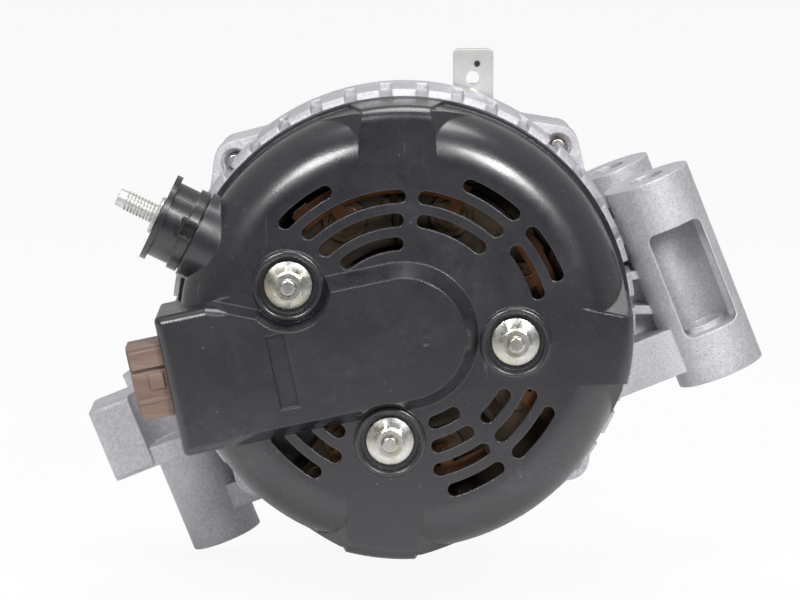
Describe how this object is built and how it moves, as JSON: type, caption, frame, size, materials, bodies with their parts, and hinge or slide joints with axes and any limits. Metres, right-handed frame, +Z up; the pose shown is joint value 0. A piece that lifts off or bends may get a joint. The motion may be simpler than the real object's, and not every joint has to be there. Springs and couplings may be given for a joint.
{
  "type": "car alternator",
  "caption": "Car alternator with a slotted black rear cover, ribbed belt pulley, cast end frames with bolt bosses, output stud and plug socket.",
  "frame": {"origin": "on the rotor axis at the belt's centre plane", "axes": "+Y along the rotor axis, out of the pulley's free face; +Z up as the part stands in the picture; +X to the right seen from the rear cover"},
  "size_m": [0.1982, 0.1475, 0.1585],
  "materials": {
    "cast_aluminium": "sand-cast, matt",
    "pulley_steel": "turned, dark phosphate",
    "bright_steel": "ground",
    "zinc_steel": "zinc plated",
    "core_steel": "laminated, varnished",
    "pole_iron": "forged, dark",
    "copper_wire": "enamelled copper",
    "copper_bar": "bare copper",
    "slip_ring_copper": "turned copper",
    "cover_plastic": "satin moulded",
    "terminal_plastic": "satin moulded",
    "connector_plastic": "brown moulded",
    "dark_resin": "filled resin",
    "tan_resin": "filled resin",
    "heat_sink_aluminium": "stamped",
    "carbon": "pressed carbon",
    "seal_rubber": "moulded",
    "spring_steel": "drawn wire",
    "tin_pin": "tin plated"
  },
  "bodies": {
    "housing": {"drive_end_frame": "cast_aluminium", "rear_end_frame": "cast_aluminium", "stator_core": "core_steel", "stator_winding": "copper_wire", "through_bolts": "zinc_steel", "rear_cover": "cover_plastic", "cover_nuts": "zinc_steel", "cover_studs": "zinc_steel", "rectifier_spacers": "bright_steel", "negative_heat_sink": "heat_sink_aluminium", "positive_heat_sink": "heat_sink_aluminium", "terminal_block": "tan_resin", "negative_diodes": "bright_steel", "positive_diodes": "bright_steel", "phase_bus_bars": "copper_bar", "rectifier_screws": "zinc_steel", "b_plus_stud": "zinc_steel", "b_plus_insulator": "terminal_plastic", "voltage_regulator": "dark_resin", "regulator_heat_sink": "heat_sink_aluminium", "brush_holder": "tan_resin", "slip_ring_cover": "dark_resin", "positive_brush_spring": "spring_steel", "negative_brush_spring": "spring_steel", "connector_housing": "connector_plastic", "connector_terminals": "tin_pin", "harness_bracket": "zinc_steel", "harness_bracket_bolt": "zinc_steel", "rear_mount_bush": "bright_steel", "bearing_retainer": "zinc_steel", "retainer_screws": "zinc_steel", "front_bearing_outer_race": "bright_steel", "front_bearing_seals": "seal_rubber", "rear_bearing_outer_race": "bright_steel", "rear_bearing_seals": "seal_rubber", "rear_bearing_sleeve": "tan_resin"},
    "rotor": {"rotor_shaft": "bright_steel", "front_claw_pole": "pole_iron", "rear_claw_pole": "pole_iron", "field_coil": "copper_wire", "coil_bobbin": "tan_resin", "front_fan": "zinc_steel", "rear_fan": "zinc_steel", "slip_ring_carrier": "dark_resin", "inner_slip_ring": "slip_ring_copper", "outer_slip_ring": "slip_ring_copper", "front_bearing_inner_race": "bright_steel", "rear_bearing_inner_race": "bright_steel", "shaft_spacer": "bright_steel", "pulley_spacer": "bright_steel", "pulley": "pulley_steel", "pulley_nut": "zinc_steel"},
    "front_ball_set": {"front_bearing_balls": "bright_steel", "front_bearing_cage": "tan_resin"},
    "rear_ball_set": {"rear_bearing_balls": "bright_steel", "rear_bearing_cage": "tan_resin"},
    "positive_brush_slide": {"positive_brush": "carbon"},
    "negative_brush_slide": {"negative_brush": "carbon"}
  },
  "joints": [
    {"name": "rotor_spin", "type": "hinge", "parent": "housing", "child": "rotor", "pos_m": [0, 0, 0], "axis": [0, 1, 0], "continuous": true},
    {"name": "front_ball_set_spin", "type": "hinge", "parent": "housing", "child": "front_ball_set", "pos_m": [0, -0.028, 0], "axis": [0, 1, 0], "continuous": true},
    {"name": "rear_ball_set_spin", "type": "hinge", "parent": "housing", "child": "rear_ball_set", "pos_m": [0, -0.102, 0], "axis": [0, 1, 0], "continuous": true},
    {"name": "positive_brush_lift", "type": "slide", "parent": "housing", "child": "positive_brush_slide", "axis": [-0.9781, 0, -0.2079], "range_m": [0, 0.005], "stiffness_N_per_m": 250, "springref_m": -0.012, "deforming": ["positive_brush_spring"]},
    {"name": "negative_brush_lift", "type": "slide", "parent": "housing", "child": "negative_brush_slide", "axis": [-0.9781, 0, -0.2079], "range_m": [0, 0.005], "stiffness_N_per_m": 250, "springref_m": -0.012, "deforming": ["negative_brush_spring"]}
  ],
  "couplings": [
    {"joint": "front_ball_set_spin", "follows": "rotor_spin", "ratio": 0.36562},
    {"joint": "rear_ball_set_spin", "follows": "rotor_spin", "ratio": 0.382}
  ]
}
